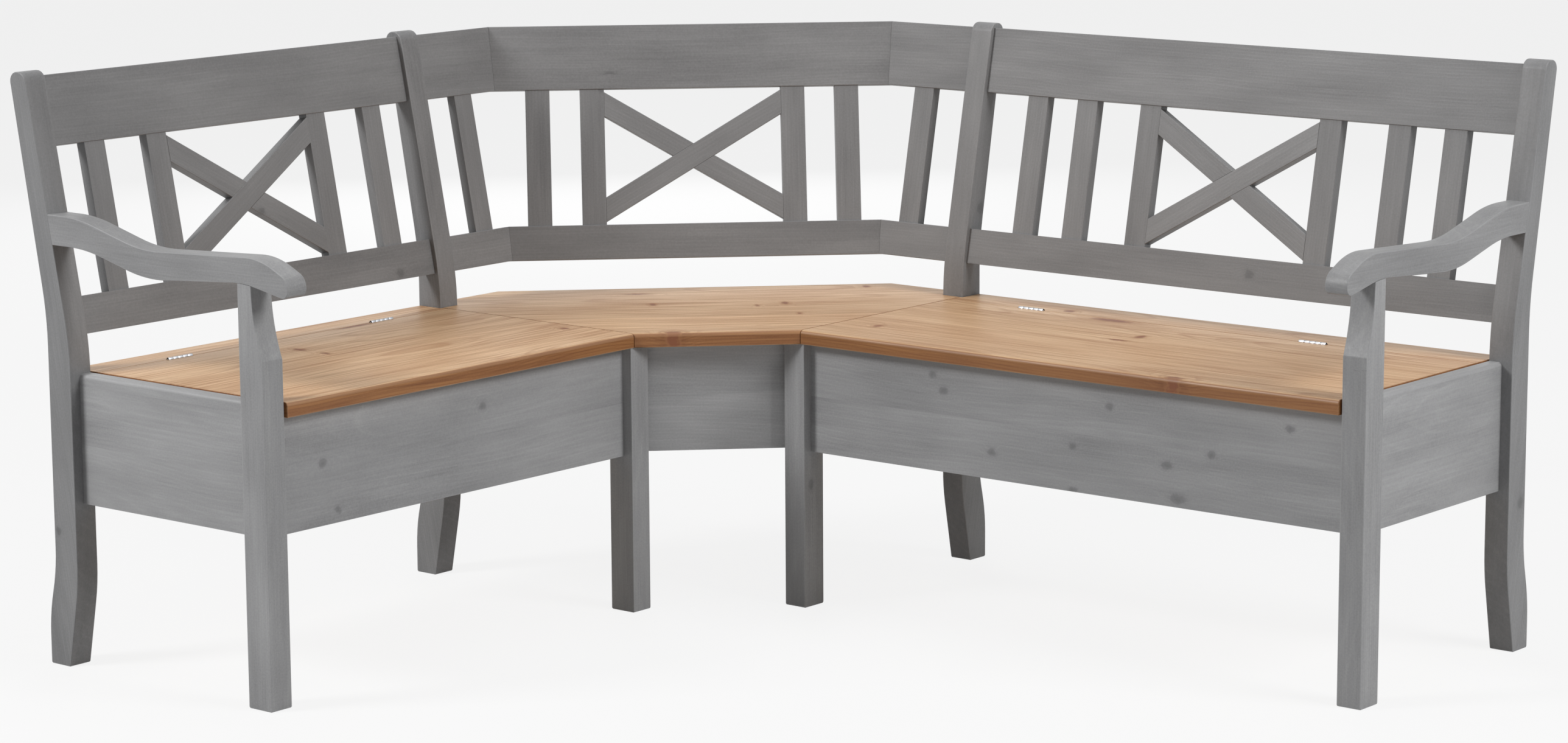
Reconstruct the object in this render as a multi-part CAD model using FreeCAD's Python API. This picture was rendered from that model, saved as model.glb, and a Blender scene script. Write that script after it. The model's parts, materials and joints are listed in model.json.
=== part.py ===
import FreeCAD, Part
import math
import os

Vector = FreeCAD.Vector

# A corner bench in three units. The corner point is where the rear edges of the two seats would meet.
# Every stretch of the bench is measured from it: s runs along the bench, u comes forward, z goes up.

# Overall sizes, in millimetres
seat_height = 460.0
corner_reach = 626.0
short_bench_length = 846.0
long_bench_length = 1093.0

# Legs and back posts
leg_width = 41.0
leg_depth = 49.0
leg_front = 470.0
foot_rounding = 3.0
edge_rounding = 1.5
post_back = -4.0
post_depth = 50.0
post_above_rail = 7.4
post_top_radius = 17.0
post_top_depth = 35.0
lean_angle = 11.3
lean_start_above_seat = 44.5
lean_back_start_above_seat = 85.5
lean_bend_radius = 505.0
foot_bend_height = 129.0
foot_bend_radius = 320.0
foot_kick = 18.0
foot_kick_top = 150.0
foot_kick_bottom = 80.0
foot_kick_radius = 280.0
foot_depth = 43.5

# Upper part of the outer front legs, which is thinner and carries the arm
leg_shoulder_above_seat = 64.0
leg_neck_above_shoulder = 43.0
leg_neck_depth = 33.0
leg_neck_top_depth = 26.0
leg_neck_radius = 300.0

# Arms, with their heights above the seat
arm_width = 38.0
arm_rear_above_seat = 243.5
arm_rear_thickness = 46.5
arm_rear_level = 28.0
arm_rear_level_below = 42.5
arm_bend_radius = 270.0
arm_low_above_seat = 206.4
arm_low_thickness = 43.4
arm_low_from_post = 170.5
arm_low_from_post_below = 178.5
arm_rise_above_seat = 178.0
arm_rise_behind_leg_face = 36.0
arm_rise_radius = 175.0
arm_crest_above_seat = 218.0
arm_crest_behind_leg_face = 1.0
arm_crest_radius = 125.0
arm_nose_overhang = 57.5
arm_nose_top_above_seat = 190.0
arm_nose_top_radius = 23.0
arm_nose_bottom_above_seat = 160.0
arm_nose_bottom_radius = 12.0

# Backrests
rail_thickness = 22.0
rail_setback = 8.5
return_setback = 4.5
corner_back_inset = 88.0332
lower_rail_gap = 58.0
lower_rail_width = 58.5
slat_length = 232.0
top_rail_width = 109.0
slat_width = 41.0
slat_thickness = 18.0
stile_spacing = 344.0
bench_slat_pitch = 126.5
long_end_slat_pitch = 100.5
corner_slat_from_mitre = 44.135
return_slat_from_post = 90.0
cross_end_gap = 5.0
cross_end_height = 42.0
mitre_gap = 0.3
tenon_length = 12.0
tenon_thickness = 8.0
tenon_shoulder = 6.0

# Seats, lids and their seams
seat_thickness = 23.5
seat_overhang = 4.0
seat_nose_radius = 6.5
seat_under_radius = 2.0
corner_seat_cut_inset = 147.0
corner_seam_past_post = 37.0
seam_gap = 1.0
lid_end_gap = 3.0
post_clearance = 1.0
short_strip_depth = 60.0
long_strip_depth = 78.5

# Storage boxes under the lids
panel_bottom = 257.0
end_panel_thickness = 22.5
end_panel_top_drop = 1.0
end_panel_rounding = 6.0
end_panel_inner_rounding = 2.0
front_panel_thickness = 20.0
front_panel_setback = 19.0
rear_panel_thickness = 20.0
rear_panel_inset = 10.0
lid_seat_gap = 0.4
bottom_thickness = 8.0
cleat_size = 20.0
cleat_lift = 5.0
box_clearance = 1.0

# Corner seat carriers
apron_setback = 22.589
apron_thickness = 20.0
bearer_width = 25.0
bearer_height = 25.0
bearer_front_inset = 70.0
bearer_rear_inset = 24.0
bearer_screw_inset = 42.0
bearer_screw_stagger = 25.0

# Battens that keep the lids flat
batten_width = 50.0
batten_thickness = 20.0
batten_rear_inset = 30.0
batten_front_inset = 58.0
batten_end_inset = 90.0
batten_screw_inset = 25.0

# Hinges, with the pin on the seam at the height of the seat
hinge_length = 50.0
knuckle_count = 5
knuckle_radius = 3.0
knuckle_gap = 0.3
groove_clearance = 0.6
leaf_thickness = 1.2
leaf_drop = 16.0
pin_radius = 1.25
running_clearance = 0.05
short_hinge_insets = (156.5, 166.0)
long_hinge_insets = (171.5, 293.0)

# Fasteners and dowels
dowel_radius = 4.0
dowel_length = 40.0
fit_clearance = 0.1
panel_dowel_inset = 36.0
end_dowel_lift = 10.0
arm_dowel_below_rise = 2.0
small_screw_radius = 1.4
small_screw_head_radius = 2.6
small_screw_length = 14.0
wood_screw_radius = 2.0
wood_screw_head_radius = 4.0
wood_screw_length = 32.0

# How near two places count as one, and the most of a side that a rounding may take
same_place = 0.001
own_side_share = 0.97
shared_side_share = 0.5

# Values that follow from the sizes above
DIAGONAL = math.sqrt(0.5)
lean = math.radians(lean_angle)
seat_underside = seat_height - seat_thickness
seat_front = leg_front + seat_overhang
leg_back = leg_front - leg_depth
post_front = post_back + post_depth
bench_start = corner_reach + leg_width
corner_seam = corner_reach + corner_seam_past_post
corner_seat_cut = corner_reach - corner_seat_cut_inset
corner_back_at_seat = (corner_reach - corner_back_inset) * DIAGONAL
apron_front = (corner_reach + leg_front) * DIAGONAL - apron_setback
support_top = seat_underside - lid_seat_gap
slat_bottom = lower_rail_gap + lower_rail_width
slat_top = slat_bottom + slat_length
post_top = seat_height + (slat_top + top_rail_width) * math.cos(lean) + post_above_rail
lean_start = seat_height + lean_start_above_seat
lean_back_start = seat_height + lean_back_start_above_seat
leg_shoulder_height = seat_height + leg_shoulder_above_seat
leg_neck_height = leg_shoulder_height + leg_neck_above_shoulder
arm_rear_top = seat_height + arm_rear_above_seat
arm_low_top = seat_height + arm_low_above_seat
arm_rise_bottom = seat_height + arm_rise_above_seat
arm_crest_top = seat_height + arm_crest_above_seat
arm_nose_top = seat_height + arm_nose_top_above_seat
arm_nose_bottom = seat_height + arm_nose_bottom_above_seat
front_panel_face = leg_front - front_panel_setback
box_front = front_panel_face - front_panel_thickness
box_rear = rear_panel_inset + rear_panel_thickness
cleat_bottom = panel_bottom + cleat_lift
cleat_top = cleat_bottom + cleat_size
small_screw = (small_screw_radius, small_screw_head_radius, small_screw_length)
wood_screw = (wood_screw_radius, wood_screw_head_radius, wood_screw_length)


class Frame:
    """Three directions from one point: s along the bench, u forward, z up."""

    def __init__(self, origin, along, forward, up):
        self.origin = origin
        self.along = along
        self.forward = forward
        self.up = up

    def point(self, s, u, z):
        return self.origin + self.along * s + self.forward * u + self.up * z

    def direction(self, axis):
        return {"s": self.along, "u": self.forward, "z": self.up}[axis]

    def leaning(self, front_at_seat):
        """The same stretch tilted back by the lean, with its origin on the backrest's front face."""
        forward = self.forward * math.cos(lean) + self.up * math.sin(lean)
        up = self.up * math.cos(lean) - self.forward * math.sin(lean)
        return Frame(self.point(0, front_at_seat, seat_height), self.along, forward, up)


def corner_arc(before, corner, after, radius, room):
    """Start, middle and end of the arc that rounds a corner of an outline, within the room there is."""
    to_before = (before - corner).normalize()
    to_after = (after - corner).normalize()
    half_angle = to_before.getAngle(to_after) / 2
    tangent = min(radius / math.tan(half_angle), room)
    radius = tangent * math.tan(half_angle)
    bisector = (to_before + to_after).normalize()
    middle = corner + bisector * (radius / math.sin(half_angle) - radius)
    return corner + to_before * tangent, middle, corner + to_after * tangent


def outline_wire(corners, to_point):
    """Closed wire through (a, b) corners; a third value rounds that corner by this radius."""
    points = [to_point(corner[0], corner[1]) for corner in corners]
    count = len(corners)
    stretches = []
    for index, corner in enumerate(corners):
        if len(corner) == 2:
            stretches.append((points[index],))
            continue
        room = []
        beside = [(index - 1) % count, (index + 1) % count]
        for other in beside:
            share = own_side_share if len(corners[other]) == 2 else shared_side_share
            room.append(points[index].distanceToPoint(points[other]) * share)
        before, after = [points[other] for other in beside]
        stretches.append(corner_arc(before, points[index], after, corner[2], min(room)))
    edges = []
    for index, stretch in enumerate(stretches):
        if len(stretch) == 3:
            edges.append(Part.Arc(*stretch).toShape())
        start = stretch[-1]
        end = stretches[(index + 1) % len(stretches)][0]
        if start.distanceToPoint(end) > same_place:
            edges.append(Part.LineSegment(start, end).toShape())
    return Part.Wire(edges)


def solid(frame, axis, corners, low, high):
    """An outline in the other two coordinates of a frame, pushed from low to high along one axis."""
    place = {
        "s": lambda a, b: frame.point(low, a, b),
        "u": lambda a, b: frame.point(a, low, b),
        "z": lambda a, b: frame.point(a, b, low),
    }[axis]
    face = Part.Face(outline_wire(corners, place))
    return face.extrude(frame.direction(axis) * (high - low))


def block(frame, s, u, z):
    """A square-edged piece between pairs of limits."""
    return solid(frame, "s", [(u[0], z[0]), (u[1], z[0]), (u[1], z[1]), (u[0], z[1])], s[0], s[1])


def half_space(point, normal):
    """Everything on the side of a plane that the normal points to, near the point."""
    size = 2 * (corner_reach + long_bench_length)
    return Part.makeCylinder(size, size, point, normal)


def ease(shape, radius, wanted):
    """Rounds the edges that a test picks out."""
    return shape.makeFillet(radius, [edge for edge in shape.Edges if wanted(edge)])


def at_ends(frame, s_limits):
    """Test for edges that lie wholly in one end face of a piece."""
    low, high = [frame.point(s, 0, 0).dot(frame.along) for s in s_limits]

    def wanted(edge):
        places = [vertex.Point.dot(frame.along) for vertex in edge.Vertexes]
        return any(all(abs(place - end) < same_place for place in places) for end in (low, high))

    return wanted


def ease_below(shape, frame, s_limits, top):
    """Rounds the long edges of a leg, but not those of its top end."""
    at_sides = at_ends(frame, s_limits)
    return ease(shape, edge_rounding, lambda edge: at_sides(edge) and edge.BoundBox.ZMin < top - same_place)


def post_outline():
    """Side view of a back post: straight at the seat, kicked back at the foot and leaning above."""
    slope = math.tan(lean)
    lean_height = post_top - lean_start
    top_front = post_front - slope * lean_height
    top_back = top_front - post_top_depth
    foot_back = post_back - foot_kick
    return [
        (foot_back, 0.0, foot_rounding),
        (foot_back + foot_depth, 0.0, foot_rounding),
        (post_front, foot_bend_height, foot_bend_radius),
        (post_front, lean_start, lean_bend_radius),
        (top_front, post_top, post_top_radius),
        (top_back, post_top, post_top_radius),
        (post_back, lean_back_start, lean_bend_radius),
        (post_back, foot_kick_top, foot_kick_radius),
        (foot_back, foot_kick_bottom, foot_kick_radius),
    ]


def rear_reach():
    """How far the tops of the posts lean out behind the corner point."""
    wire = outline_wire(post_outline(), lambda u, z: Vector(u, 0, z))
    return -wire.BoundBox.XMin


def corner_point():
    """Place of the corner point when the whole bench is centred on the origin."""
    reach = rear_reach()
    long_end = corner_reach + long_bench_length
    short_end = corner_reach + short_bench_length
    return Vector((reach - long_end) / 2, (short_end - reach) / 2, 0)


CORNER = corner_point()
UP = Vector(0, 0, 1)
long_run = Frame(CORNER, Vector(1, 0, 0), Vector(0, -1, 0), UP)
short_run = Frame(CORNER, Vector(0, -1, 0), Vector(1, 0, 0), UP)
corner_run = Frame(CORNER, Vector(DIAGONAL, DIAGONAL, 0), Vector(DIAGONAL, -DIAGONAL, 0), UP)

parts = {}


def add(name, shape):
    """Keeps a solid under the name of its node; a node may hold several like solids."""
    parts.setdefault(name, []).extend(shape.Solids)


def cut(name, tool):
    """Takes a tool shape away from every solid of a node."""
    left = []
    for piece in parts[name]:
        left.extend(piece.cut(tool).Solids)
    parts[name] = left


def front_of_back(height):
    """How far forward the leaning front face of a post is at a height above the bend."""
    return post_front - math.tan(lean) * (height - lean_start)


def make_post(name, frame, start):
    limits = (start, start + leg_width)
    post = solid(frame, "s", post_outline(), *limits)
    add(name, ease(post, edge_rounding, at_ends(frame, limits)))


def arm_outline():
    """Side view of an arm: an S that falls from the post and ends in a drooping round nose."""
    nose = leg_front + arm_nose_overhang
    rear_bottom = arm_rear_top - arm_rear_thickness
    return [
        (front_of_back(rear_bottom), rear_bottom),
        (post_front + arm_rear_level_below, rear_bottom, arm_bend_radius),
        (post_front + arm_low_from_post_below, arm_low_top - arm_low_thickness, arm_bend_radius),
        (leg_front - arm_rise_behind_leg_face, arm_rise_bottom, arm_rise_radius),
        (nose, arm_nose_bottom, arm_nose_bottom_radius),
        (nose, arm_nose_top, arm_nose_top_radius),
        (leg_front - arm_crest_behind_leg_face, arm_crest_top, arm_crest_radius),
        (post_front + arm_low_from_post, arm_low_top, arm_bend_radius),
        (post_front + arm_rear_level, arm_rear_top, arm_bend_radius),
        (front_of_back(arm_rear_top), arm_rear_top),
    ]


def make_arm(name, frame, outer_end):
    limits = (outer_end - arm_width, outer_end)
    arm = solid(frame, "s", arm_outline(), *limits)
    rear = frame.leaning(front_of_back(seat_height))
    at_sides = at_ends(frame, limits)

    def touches_post(edge):
        ahead = [(vertex.Point - rear.origin).dot(rear.forward) for vertex in edge.Vertexes]
        return all(abs(distance) < same_place for distance in ahead)

    add(name, ease(arm, edge_rounding, lambda edge: at_sides(edge) and not touches_post(edge)))


def make_plain_leg(name, frame, start):
    top = support_top
    outline = [(leg_back, 0.0, foot_rounding), (leg_front, 0.0, foot_rounding)]
    outline += [(leg_front, top), (leg_back, top)]
    limits = (start, start + leg_width)
    add(name, ease_below(solid(frame, "s", outline, *limits), frame, limits, top))


def make_arm_leg(name, frame, start):
    """Outer front leg, cut back in a hollow curve above the seat and shaped to the arm on top."""
    top = arm_low_top
    outline = [
        (leg_back, 0.0, foot_rounding),
        (leg_front, 0.0, foot_rounding),
        (leg_front, leg_shoulder_height),
        (leg_back + leg_neck_depth, leg_neck_height, leg_neck_radius),
        (leg_back + leg_neck_top_depth, top),
        (leg_back, top),
    ]
    limits = (start, start + leg_width)
    leg = ease_below(solid(frame, "s", outline, *limits), frame, limits, top)
    under_arm = leg.cut(solid(frame, "s", arm_outline(), start - leg_width, start + 2 * leg_width))
    add(name, min(under_arm.Solids, key=lambda piece: piece.BoundBox.ZMin))


def make_rail(name, back, s, z):
    """A square-edged rail whose front face lies in the plane of the backrest."""
    add(name, block(back, s, (-rail_thickness, 0.0), z))


def upright(back, centre, spread=0.0):
    """A slat or stile with its two tenons; a spread makes the mortises that take them."""
    face = -(rail_thickness - slat_thickness) / 2
    middle = face - slat_thickness / 2
    half = slat_width / 2
    tenon_half = half - tenon_shoulder + spread
    depth = tenon_thickness / 2 + spread
    tenon = block(
        back,
        (centre - tenon_half, centre + tenon_half),
        (middle - depth, middle + depth),
        (slat_bottom - tenon_length - spread, slat_top + tenon_length + spread),
    )
    if spread:
        return tenon
    body = block(back, (centre - half, centre + half), (face - slat_thickness, face), (slat_bottom, slat_top))
    return body.fuse(tenon).removeSplitter()


def make_uprights(name, back, centres, rails):
    """Slats or stiles at the given places, let into the rails above and below."""
    for centre in centres:
        add(name, upright(back, centre))
        for rail in rails:
            cut(rail, upright(back, centre, spread=fit_clearance))


def make_cross(prefix, back, centre, viewer_right):
    """Two bars that cross between the stiles, halved into each other with the rising bar in front."""
    half = (stile_spacing - slat_width) / 2
    low = slat_bottom + cross_end_gap
    high = slat_top - cross_end_gap
    face = -(rail_thickness - slat_thickness) / 2
    left = centre - viewer_right * half
    right = centre + viewer_right * half
    rise = cross_end_height

    def bar(start, end):
        return [(start, low), (start, low + rise), (end, high), (end, high - rise)]

    rising = solid(back, "u", bar(left, right), face - slat_thickness, face)
    falling = solid(back, "u", bar(right, left), face - slat_thickness, face)
    middle = face - slat_thickness / 2
    front_half = solid(back, "u", bar(left, right), middle, face)
    back_half = solid(back, "u", bar(right, left), face - slat_thickness, middle)
    add(prefix + "_cross_rising_bar", rising.cut(back_half))
    add(prefix + "_cross_falling_bar", falling.cut(front_half))


def make_bench_back(prefix, frame, end, slat_offsets, viewer_right):
    """Backrest between the two posts of a bench."""
    start = bench_start
    back = frame.leaning(front_of_back(seat_height) - rail_setback)
    top_rail = prefix + "_top_rail"
    lower_rail = prefix + "_lower_rail"
    make_rail(top_rail, back, (start, end), (slat_top, slat_top + top_rail_width))
    make_rail(lower_rail, back, (start, end), (lower_rail_gap, slat_bottom))
    centre = (start + end) / 2
    stile = stile_spacing / 2
    rails = (top_rail, lower_rail)
    slats = [centre + sign * (stile + offset) for offset in slat_offsets for sign in (-1, 1)]
    make_uprights(prefix + "_back_slats", back, slats, rails)
    make_uprights(prefix + "_back_stiles", back, [centre - stile, centre + stile], rails)
    make_cross(prefix, back, centre, viewer_right)
    for post, s in ((prefix + "_inner_post", start), (prefix + "_outer_post", end)):
        for rail, heights in rail_dowel_heights(top_rail, lower_rail):
            for height in heights:
                add_dowel(back, "s", (s, -rail_thickness / 2, height), (post, rail))


def rail_dowel_heights(top_rail, lower_rail):
    """Two dowels at each end of a top rail and one at each end of a lower rail."""
    quarter = top_rail_width / 4
    middle = (lower_rail_gap + slat_bottom) / 2
    return ((top_rail, (slat_top + quarter, slat_top + 3 * quarter)), (lower_rail, (middle,)))


def make_corner_back():
    """Backrest across the corner: a middle panel at 45 degrees, mitred to a short return at each post."""
    middle = corner_run.leaning(corner_back_at_seat)
    heights = {"top": (slat_top, slat_top + top_rail_width), "lower": (lower_rail_gap, slat_bottom)}
    returns = {"short": short_run, "long": long_run}
    backs = {side: run.leaning(front_of_back(seat_height) - return_setback) for side, run in returns.items()}
    for level, z in heights.items():
        rail = block(middle, (-corner_reach, corner_reach), (-rail_thickness, 0.0), z)
        for back in backs.values():
            rail = rail.cut(half_space(*mitre(back, middle, -1)))
        add("corner_" + level + "_rail", rail)
        for side, back in backs.items():
            piece = block(back, (0.0, corner_reach), (-rail_thickness, 0.0), z)
            name = "corner_" + level + "_rail_" + side + "_return"
            add(name, piece.cut(half_space(*mitre(back, middle, 1))))
    stile = stile_spacing / 2
    mitre_at_seat = corner_back_at_seat - (front_of_back(seat_height) - return_setback) / DIAGONAL
    slat = mitre_at_seat - corner_slat_from_mitre
    rails = ("corner_top_rail", "corner_lower_rail")
    make_uprights("corner_back_slats", middle, [-slat, slat], rails)
    make_uprights("corner_back_stiles", middle, [-stile, stile], rails)
    make_cross("corner", middle, 0.0, 1)
    for side, back in backs.items():
        rails = ["corner_" + level + "_rail_" + side + "_return" for level in heights]
        make_uprights("corner_back_slats", back, [corner_reach - return_slat_from_post], rails)
        post = side + "_inner_post"
        for rail, places in rail_dowel_heights(*rails):
            for height in places:
                add_dowel(back, "s", (corner_reach, -rail_thickness / 2, height), (post, rail))


def mitre(back, middle, side):
    """Point and outward direction of the mitre between a return and the middle panel."""
    normal = back.forward - middle.forward
    offset = back.forward.dot(back.origin) - middle.forward.dot(middle.origin)
    length = normal.Length
    normal = normal * (1 / length)
    distance = offset / length
    near = back.point(corner_back_at_seat, 0, 0)
    point = near + normal * (distance - near.dot(normal))
    return point - normal * (side * mitre_gap / 2), normal * side


def add_dowel(frame, axis, centre, joined):
    """A dowel across a joint, in holes a little larger than itself in both pieces."""
    direction = frame.direction(axis)
    start = frame.point(*centre) - direction * (dowel_length / 2)
    add("dowels", Part.makeCylinder(dowel_radius, dowel_length, start, direction))
    reach = dowel_length + 2 * fit_clearance
    start = start - direction * fit_clearance
    hole = Part.makeCylinder(dowel_radius + fit_clearance, reach, start, direction)
    for name in joined:
        cut(name, hole)


def add_screw(node, point, direction, sizes, holed):
    """A countersunk screw whose head is flush at the point, with holes in what it passes."""
    radius, head_radius, length = sizes
    head_height = head_radius - radius
    profile = [(0, 0), (head_radius, 0), (radius, head_height), (radius, length - radius), (0, length)]
    add(node, turned(profile, point, direction))
    slack = fit_clearance
    hole = [(0, -slack), (head_radius + slack, -slack), (head_radius + slack, 0)]
    hole += [(radius + slack, head_height), (radius + slack, length + slack), (0, length + slack)]
    for name in holed:
        cut(name, turned(hole, point, direction))


def turned(profile, point, direction):
    """Solid of revolution from (radius, distance) corners about a line."""
    wire = outline_wire(profile, lambda radius, distance: Vector(radius, 0, distance))
    shape = Part.Face(wire).revolve(Vector(0, 0, 0), UP, 360)
    shape.Placement = FreeCAD.Placement(point, FreeCAD.Rotation(UP, direction))
    return shape


def make_seats(prefix, frame, end, strip_depth, batten_count):
    """Fixed rear strip and lifting lid of one bench."""
    inner, outer = lid_ends(end)
    strip_front = strip_depth - seam_gap / 2
    lid_rear = strip_depth + seam_gap / 2
    notch_s = bench_start + post_clearance
    notch_u = post_front + post_clearance
    plan = [(notch_s, 0.0), (outer, 0.0), (outer, strip_front)]
    plan += [(inner, strip_front), (inner, notch_u), (notch_s, notch_u)]
    add(prefix + "_hinge_strip", solid(frame, "z", plan, seat_underside, seat_height))
    side_view = [
        (lid_rear, seat_underside),
        (seat_front, seat_underside, seat_under_radius),
        (seat_front, seat_height, seat_nose_radius),
        (lid_rear, seat_height),
    ]
    add(prefix + "_lid", solid(frame, "s", side_view, inner, outer))
    step = (outer - inner - 2 * batten_end_inset - batten_width) / (batten_count - 1)
    for index in range(batten_count):
        s = inner + batten_end_inset + index * step
        u = (strip_depth + batten_rear_inset, seat_front - batten_front_inset)
        add_batten(prefix, frame, s, u)


def lid_ends(end):
    """Where the lid of a bench starts beside the corner seat and stops short of the outer panel."""
    return corner_seam + seam_gap / 2, end - lid_end_gap


def add_batten(prefix, frame, s, u):
    """A batten across the underside of a lid, held by three screws from below."""
    battens = prefix + "_lid_battens"
    bottom = seat_underside - batten_thickness
    add(battens, block(frame, (s, s + batten_width), u, (bottom, seat_underside)))
    for place in (u[0] + batten_screw_inset, (u[0] + u[1]) / 2, u[1] - batten_screw_inset):
        point = frame.point(s + batten_width / 2, place, bottom)
        add_screw(prefix + "_lid_screws", point, UP, wood_screw, (battens, prefix + "_lid"))


def knuckles(frame, centre, seam, odd):
    """Half of a hinge: its leaf in the seam and every second knuckle of the barrel."""
    pitch = hinge_length / knuckle_count
    start = centre - hinge_length / 2
    sign = 1 if odd else -1
    near = seam + sign * seam_gap / 2
    faces = sorted((near, near + sign * leaf_thickness))
    plate_top = seat_height - knuckle_radius - knuckle_gap
    half = block(frame, (start, start + hinge_length), faces, (seat_height - leaf_drop, plate_top))
    for index in range(1 if odd else 0, knuckle_count, 2):
        s = (start + index * pitch + knuckle_gap / 2, start + (index + 1) * pitch - knuckle_gap / 2)
        half = half.fuse(block(frame, s, faces, (plate_top, seat_height)))
        half = half.fuse(pin_rod(frame, s, seam, knuckle_radius))
    bore = pin_rod(frame, (start, start + hinge_length), seam, pin_radius + running_clearance)
    return half.cut(bore).removeSplitter()


def pin_rod(frame, s, seam, radius):
    """A round bar along the line that a lid turns on."""
    return Part.makeCylinder(radius, s[1] - s[0], frame.point(s[0], seam, seat_height), frame.along)


def make_hinge(prefix, frame, centre, seam):
    """A butt hinge let into the seam, its barrel half above the boards."""
    strip = prefix + "_hinge_strip"
    lid = prefix + "_lid"
    lid_leaves = prefix + "_lid_hinge_leaves"
    start = centre - hinge_length / 2
    add("hinge_fixed_leaves", knuckles(frame, centre, seam, odd=False))
    add(lid_leaves, knuckles(frame, centre, seam, odd=True))
    add("hinge_pins", pin_rod(frame, (start, start + hinge_length), seam, pin_radius))
    slack = groove_clearance
    s = (start - slack, start + hinge_length + slack)
    groove = pin_rod(frame, s, seam, knuckle_radius + slack)
    half_gap = seam_gap / 2
    depth = half_gap + leaf_thickness + fit_clearance
    pocket_z = (seat_height - leaf_drop - slack, seat_height + slack)
    pocket = block(frame, s, (seam - depth, seam + depth), pocket_z)
    for name in (strip, lid):
        cut(name, groove)
        cut(name, pocket)
    height = seat_height - (leaf_drop + knuckle_radius) / 2
    for s in (centre - hinge_length / 3, centre + hinge_length / 3):
        rear_head = frame.point(s, seam - half_gap, height)
        front_head = frame.point(s, seam + half_gap, height)
        add_screw("fixed_screws", rear_head, frame.forward * -1, small_screw, ("hinge_fixed_leaves", strip))
        add_screw(prefix + "_lid_screws", front_head, frame.forward, small_screw, (lid_leaves, lid))


def make_box(prefix, frame, end):
    """Storage box of one bench: four panels between the legs, a loose bottom and its cleats."""
    start = bench_start
    z = (panel_bottom, support_top)
    front = prefix + "_front_panel"
    rear = prefix + "_rear_panel"
    inner = prefix + "_inner_end_panel"
    outer = prefix + "_outer_end_panel"
    add(front, block(frame, (start, end), (box_front, front_panel_face), z))
    add(rear, block(frame, (start, end), (rear_panel_inset, box_rear), z))
    add(inner, block(frame, (start - end_panel_thickness, start), (post_front, leg_back), z))
    outer_top = seat_height - end_panel_top_drop
    side_view = [
        (end, panel_bottom),
        (end + end_panel_thickness, panel_bottom),
        (end + end_panel_thickness, outer_top, end_panel_rounding),
        (end, outer_top, end_panel_inner_rounding),
    ]
    add(outer, solid(frame, "u", side_view, post_front, leg_back))
    clear = box_clearance
    inside = (start + clear, end - clear)
    depth = (box_rear + clear, box_front - clear)
    add(prefix + "_bottom_panel", block(frame, inside, depth, (cleat_top, cleat_top + bottom_thickness)))
    heights = (cleat_bottom, cleat_top)
    add("bottom_cleats", block(frame, inside, (box_rear, box_rear + cleat_size), heights))
    add("bottom_cleats", block(frame, inside, (box_front - cleat_size, box_front), heights))
    between = (box_rear + cleat_size + clear, box_front - cleat_size - clear)
    for edge, sign in ((start, 1), (end, -1)):
        add("bottom_cleats", block(frame, sorted((edge, edge + sign * cleat_size)), between, heights))
    dowel_box(prefix, frame, end)


def dowel_box(prefix, frame, end):
    """Dowels from the box panels into the legs and posts."""
    heights = (panel_bottom + panel_dowel_inset, support_top - panel_dowel_inset)
    front_middle = (box_front + front_panel_face) / 2
    rear_middle = (rear_panel_inset + box_rear) / 2
    inner_middle = bench_start - end_panel_thickness / 2
    outer_middle = end + end_panel_thickness / 2
    for z in heights:
        for s, place in ((bench_start, "_inner_"), (end, "_outer_")):
            add_dowel(frame, "s", (s, front_middle, z), (prefix + place + "leg", prefix + "_front_panel"))
            add_dowel(frame, "s", (s, rear_middle, z), (prefix + place + "post", prefix + "_rear_panel"))
        raised = z + end_dowel_lift
        for s, place in ((inner_middle, "_inner_"), (outer_middle, "_outer_")):
            panel = prefix + place + "end_panel"
            add_dowel(frame, "u", (s, post_front, raised), (prefix + place + "post", panel))
            add_dowel(frame, "u", (s, leg_back, raised), (prefix + place + "leg", panel))


def make_corner_seat():
    """Fixed seat across the corner, notched round the two inner posts."""
    inner = corner_reach - post_clearance
    notch = post_front + post_clearance
    seam = corner_seam - seam_gap / 2
    half_plan = [(corner_seat_cut, 0.0), (inner, 0.0), (inner, notch), (seam, notch), (seam, seat_front)]
    outline = [short_run.point(s, u, seat_underside) for s, u in half_plan]
    outline += [long_run.point(s, u, seat_underside) for s, u in reversed(half_plan)]
    board = Part.Face(Part.makePolygon(outline + outline[:1])).extrude(UP * seat_thickness)
    nose = corner_run.direction("u")
    front = (short_run.point(*half_plan[-1], 0) + long_run.point(*half_plan[-1], 0)).dot(nose) / 2

    def on_nose(edge, height):
        box = edge.BoundBox
        level = abs(box.ZMin - height) < same_place and abs(box.ZMax - height) < same_place
        return level and all(abs(vertex.Point.dot(nose) - front) < same_place for vertex in edge.Vertexes)

    board = ease(board, seat_nose_radius, lambda edge: on_nose(edge, seat_height))
    add("corner_seat", ease(board, seat_under_radius, lambda edge: on_nose(edge, seat_underside)))


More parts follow.
